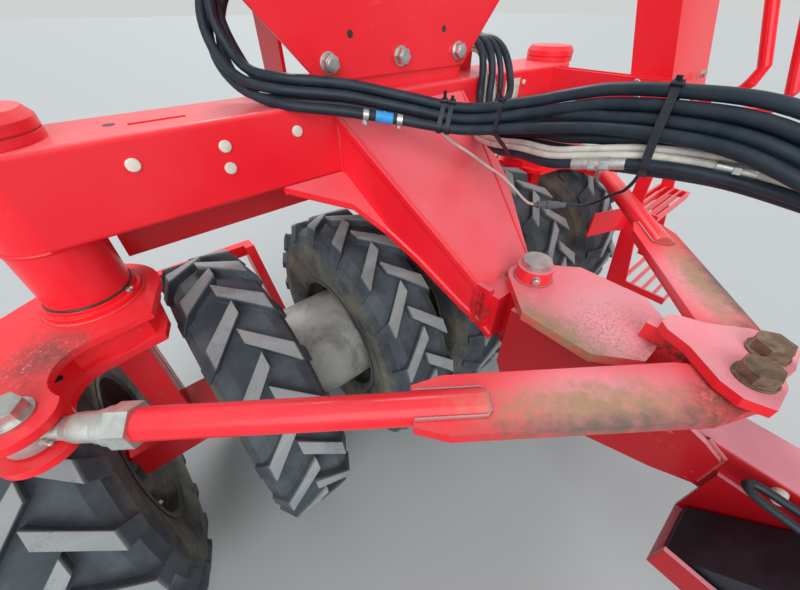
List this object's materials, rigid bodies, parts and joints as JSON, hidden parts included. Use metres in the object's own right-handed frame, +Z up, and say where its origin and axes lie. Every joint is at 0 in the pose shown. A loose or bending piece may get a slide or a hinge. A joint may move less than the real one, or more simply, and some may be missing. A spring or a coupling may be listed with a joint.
{
  "type": "steered front carriage of a folded seed drill",
  "caption": "Front running gear of a trailed seed drill: cross beam on steered tyre packers, gooseneck, pivoting drawbar with tie rods, parking jack and access ladder.",
  "frame": {"origin": "on the ground, at the middle of the bounding box in plan", "axes": "-Y is forward along the drawbar, +Y is to the rear, +X is the side of the access ladder, +Z is up"},
  "size_m": [2.09, 2.86, 1.56],
  "materials": {
    "red_paint": "satin",
    "dark_red_paint": "satin",
    "zinc": "dull",
    "rusty_steel": "rough",
    "tyre_rubber": "matte",
    "rim_paint": "dusty",
    "hose_rubber": "satin",
    "chock_plastic": "matte"
  },
  "bodies": {
    "frame": {"cross_beam": "red_paint", "kingpin_housings": "red_paint", "kingpin_caps": "red_paint", "gooseneck": "red_paint", "drawbar_boss": "red_paint", "rear_plate": "dark_red_paint", "tower_sheet": "red_paint", "tower_upstand": "red_paint", "frame_stub": "red_paint", "step_bracket": "red_paint", "ladder_post": "red_paint", "steps": "red_paint", "step_guard": "red_paint", "handrails": "red_paint", "hose_bulkhead": "dark_red_paint", "hoses_frame": "hose_rubber"},
    "knuckle_left": {"kingpin_left": "red_paint", "steering_arm_left": "red_paint", "arm_bolt_left": "zinc", "axle_left": "red_paint", "scraper_left": "red_paint"},
    "knuckle_right": {"kingpin_right": "red_paint", "steering_arm_right": "red_paint", "arm_bolt_right": "zinc", "axle_right": "red_paint", "scraper_right": "red_paint"},
    "wheel_left_outer": {"tyre_left_outer": "tyre_rubber", "wheel_left_outer": "rim_paint"},
    "wheel_left_inner": {"tyres_left_inner": "tyre_rubber", "rims_left_inner": "rim_paint", "drum_left": "rim_paint"},
    "wheel_right_outer": {"tyre_right_outer": "tyre_rubber", "wheel_right_outer": "rim_paint"},
    "wheel_right_inner": {"tyres_right_inner": "tyre_rubber", "rims_right_inner": "rim_paint", "drum_right": "rim_paint"},
    "drawbar": {"head_plate": "red_paint", "head_sides": "red_paint", "drawbar_tube": "red_paint", "drawbar_pin": "zinc", "steering_plate": "red_paint", "steering_bolts": "rusty_steel", "towing_eye": "red_paint", "jack_housing": "dark_red_paint", "chock_holder": "red_paint", "wheel_chock": "chock_plastic", "hose_holder": "dark_red_paint", "hoses_drawbar": "hose_rubber"},
    "tie_rod_left": {"tie_rod_left": "red_paint", "rod_end_left": "zinc"},
    "tie_rod_right": {"tie_rod_right": "red_paint", "rod_end_right": "zinc"},
    "jack": {"jack_leg": "zinc"}
  },
  "joints": [
    {"name": "drawbar_steer", "type": "hinge", "parent": "frame", "child": "drawbar", "pos_m": [0, 0.514, 0.75], "axis": [0, 0, 1], "range_deg": [-15, 15]},
    {"name": "knuckle_left_steer", "type": "hinge", "parent": "frame", "child": "knuckle_left", "pos_m": [-0.74, 1.025, 0.9], "axis": [0, 0, 1], "range_deg": [-18.5, 18.5]},
    {"name": "tie_rod_left_swing", "type": "hinge", "parent": "drawbar", "child": "tie_rod_left", "pos_m": [-0.036, 0.141, 0.859], "axis": [0, 0, 1], "range_deg": [-13.5, 13.5]},
    {"name": "wheel_left_outer_spin", "type": "hinge", "parent": "knuckle_left", "child": "wheel_left_outer", "pos_m": [-0.94, 1.025, 0.405], "axis": [1, 0, 0], "continuous": true},
    {"name": "wheel_left_inner_spin", "type": "hinge", "parent": "knuckle_left", "child": "wheel_left_inner", "pos_m": [-0.35, 1.025, 0.405], "axis": [1, 0, 0], "continuous": true},
    {"name": "knuckle_right_steer", "type": "hinge", "parent": "frame", "child": "knuckle_right", "pos_m": [0.74, 1.025, 0.9], "axis": [0, 0, 1], "range_deg": [-18.5, 18.5]},
    {"name": "tie_rod_right_swing", "type": "hinge", "parent": "drawbar", "child": "tie_rod_right", "pos_m": [0.036, 0.141, 0.859], "axis": [0, 0, 1], "range_deg": [-13.5, 13.5]},
    {"name": "wheel_right_outer_spin", "type": "hinge", "parent": "knuckle_right", "child": "wheel_right_outer", "pos_m": [0.94, 1.025, 0.405], "axis": [1, 0, 0], "continuous": true},
    {"name": "wheel_right_inner_spin", "type": "hinge", "parent": "knuckle_right", "child": "wheel_right_inner", "pos_m": [0.35, 1.025, 0.405], "axis": [1, 0, 0], "continuous": true},
    {"name": "jack_extend", "type": "slide", "parent": "drawbar", "child": "jack", "axis": [0, 0, 1], "range_m": [0, 0.35]}
  ],
  "couplings": [
    {"joint": "knuckle_left_steer", "follows": "drawbar_steer", "ratio": 1.21},
    {"joint": "tie_rod_left_swing", "follows": "drawbar_steer", "ratio": -0.86},
    {"joint": "knuckle_right_steer", "follows": "drawbar_steer", "ratio": 1.21},
    {"joint": "tie_rod_right_swing", "follows": "drawbar_steer", "ratio": -0.86}
  ]
}
